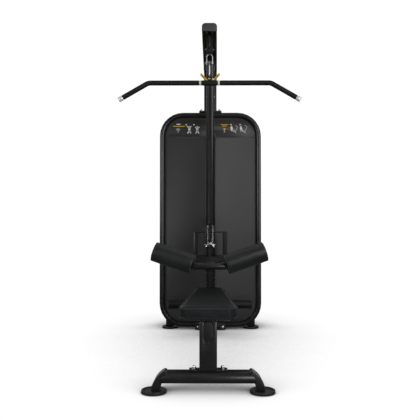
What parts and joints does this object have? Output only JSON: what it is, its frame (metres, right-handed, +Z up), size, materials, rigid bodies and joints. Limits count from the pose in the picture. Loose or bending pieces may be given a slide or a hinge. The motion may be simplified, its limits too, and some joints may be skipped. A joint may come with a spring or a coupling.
{
  "type": "lat pulldown machine",
  "caption": "Weight stack gym station with a wide pulldown bar on an overhead boom, thigh rollers, tapered seat, foot bar and a mid row cable.",
  "frame": {"origin": "on the floor, under the middle of the machine's overall box", "axes": "+Z up; the user sits on the -Y side and faces +Y; +X is the user's right"},
  "size_m": [1.2146, 2.115, 2.1615],
  "materials": {
    "frame_black": "satin black powder coat",
    "panel_grey": "satin charcoal sheet metal",
    "placard_dark": null,
    "cap_grey": "moulded grey end cap",
    "rubber_black": "black rubber",
    "cable_jacket": "black jacket over steel cable",
    "upholstery": "dark charcoal vinyl over foam",
    "chrome": "bright chrome plate",
    "pulley_black": "black nylon",
    "yellow": "golden yellow coating",
    "iron": "black painted cast iron"
  },
  "bodies": {
    "frame": {"front_foot_left": "rubber_black", "front_foot_right": "rubber_black", "rear_foot_left": "rubber_black", "rear_foot_right": "rubber_black", "front_base_tube": "frame_black", "front_post": "frame_black", "seat_beam": "frame_black", "seat_beam_cap": "rubber_black", "seat_cushion": "upholstery", "upright": "frame_black", "foot_bar": "rubber_black", "base_spine": "frame_black", "row_bracket": "chrome", "guide_fork": "frame_black", "bar_hooks": "yellow", "ring_frame": "frame_black", "front_panel_left": "panel_grey", "front_panel_right": "panel_grey", "front_panel_header": "panel_grey", "front_panel_sill": "panel_grey", "placard": "placard_dark", "rear_cover": "panel_grey", "rear_sheet": "panel_grey", "rear_base_tube": "frame_black", "stack_seat": "rubber_black", "guide_rod_left": "chrome", "guide_rod_right": "chrome", "tower_top_plate": "frame_black", "mast": "frame_black", "boom": "frame_black", "boom_cap": "cap_grey", "boom_front_hanger": "frame_black", "boom_rear_hanger": "frame_black", "resting_plates": "iron", "main_cable": "cable_jacket"},
    "stack": {"lifted_plates": "iron", "stack_head": "iron", "selector_stem": "chrome", "float_bracket": "chrome"},
    "float_wheel": {"float_pulley": "pulley_black"},
    "boom_front_wheel": {"boom_front_pulley": "pulley_black"},
    "boom_rear_wheel": {"boom_rear_pulley": "pulley_black"},
    "return_wheel": {"return_pulley": "pulley_black"},
    "guide_wheel": {"guide_pulley": "pulley_black"},
    "row_wheel": {"row_pulley": "pulley_black"},
    "pin": {"selector_pin": "yellow"},
    "pads": {"pad_carriage": "frame_black", "pad_crossbar": "frame_black"},
    "roller_left": {"pad_roller_left": "upholstery"},
    "roller_right": {"pad_roller_right": "upholstery"},
    "pad_pin": {"pad_pull_pin": "pulley_black"},
    "lat_end": {"lat_stop_ball": "rubber_black"},
    "lat_link": {"lat_shackle": "chrome", "lat_snap_hook": "chrome"},
    "lat_bar": {"lat_bar_tube": "chrome", "lat_grip_left": "rubber_black", "lat_grip_right": "rubber_black", "lat_bar_hub": "rubber_black"},
    "row_end": {"row_stop_ball": "rubber_black", "row_shackle": "chrome"}
  },
  "joints": [
    {"name": "lat_pull", "type": "slide", "parent": "frame", "child": "lat_end", "axis": [0, 0, -1], "range_m": [0, 0.66], "deforming": ["main_cable"]},
    {"name": "bar_swivel", "type": "hinge", "parent": "lat_end", "child": "lat_link", "pos_m": [0, -0.1425, 1.979], "axis": [0, 0, 1], "range_deg": [-60, 60]},
    {"name": "bar_tilt", "type": "hinge", "parent": "lat_link", "child": "lat_bar", "pos_m": [0, -0.1425, 1.8255], "axis": [0, 1, 0], "range_deg": [-15, 15]},
    {"name": "stack_lift", "type": "slide", "parent": "frame", "child": "stack", "axis": [0, 0, 1], "range_m": [0, 0.33]},
    {"name": "boom_front_spin", "type": "hinge", "parent": "frame", "child": "boom_front_wheel", "pos_m": [0, -0.0955, 2.1], "axis": [1, 0, 0], "continuous": true},
    {"name": "boom_rear_spin", "type": "hinge", "parent": "frame", "child": "boom_rear_wheel", "pos_m": [0, 0.9475, 2.1], "axis": [1, 0, 0], "continuous": true},
    {"name": "float_spin", "type": "hinge", "parent": "stack", "child": "float_wheel", "pos_m": [0, 0.9475, 0.55], "axis": [1, 0, 0], "continuous": true},
    {"name": "row_pull", "type": "slide", "parent": "frame", "child": "row_end", "axis": [0, -1, 0], "range_m": [0, 0.5], "stiffness_N_per_m": 30, "springref_m": -0.5},
    {"name": "return_spin", "type": "hinge", "parent": "frame", "child": "return_wheel", "pos_m": [0, 0.8535, 1.62], "axis": [1, 0, 0], "continuous": true},
    {"name": "guide_spin", "type": "hinge", "parent": "frame", "child": "guide_wheel", "pos_m": [0, 0.7595, 0.894], "axis": [1, 0, 0], "continuous": true},
    {"name": "row_spin", "type": "hinge", "parent": "frame", "child": "row_wheel", "pos_m": [0, 0.3855, 0.8], "axis": [1, 0, 0], "continuous": true},
    {"name": "selector_pin_pull", "type": "slide", "parent": "stack", "child": "pin", "axis": [0, -1, 0], "range_m": [0, 0.1]},
    {"name": "pad_slide", "type": "slide", "parent": "frame", "child": "pads", "axis": [0, 0, 1], "range_m": [-0.06, 0.06]},
    {"name": "roller_spin_left", "type": "hinge", "parent": "pads", "child": "roller_left", "pos_m": [-0.108, -0.1885, 0.59], "axis": [-0.9425, 0.0957, 0.3203], "continuous": true},
    {"name": "roller_spin_right", "type": "hinge", "parent": "pads", "child": "roller_right", "pos_m": [0.108, -0.1885, 0.59], "axis": [0.9425, 0.0957, 0.3203], "continuous": true},
    {"name": "pad_pin_pull", "type": "slide", "parent": "pads", "child": "pad_pin", "axis": [1, 0, 0], "range_m": [0, 0.012], "stiffness_N_per_m": 600, "springref_m": -0.012}
  ],
  "couplings": [
    {"joint": "stack_lift", "follows": "lat_pull", "ratio": 0.5},
    {"joint": "boom_front_spin", "follows": "lat_pull", "rad_per_m": 21.277},
    {"joint": "boom_rear_spin", "follows": "lat_pull", "rad_per_m": 21.277},
    {"joint": "float_spin", "follows": "lat_pull", "rad_per_m": 10.638},
    {"joint": "row_spin", "follows": "row_pull", "rad_per_m": 21.277},
    {"joint": "guide_spin", "follows": "row_pull", "rad_per_m": -21.277},
    {"joint": "return_spin", "follows": "row_pull", "rad_per_m": 21.277}
  ]
}
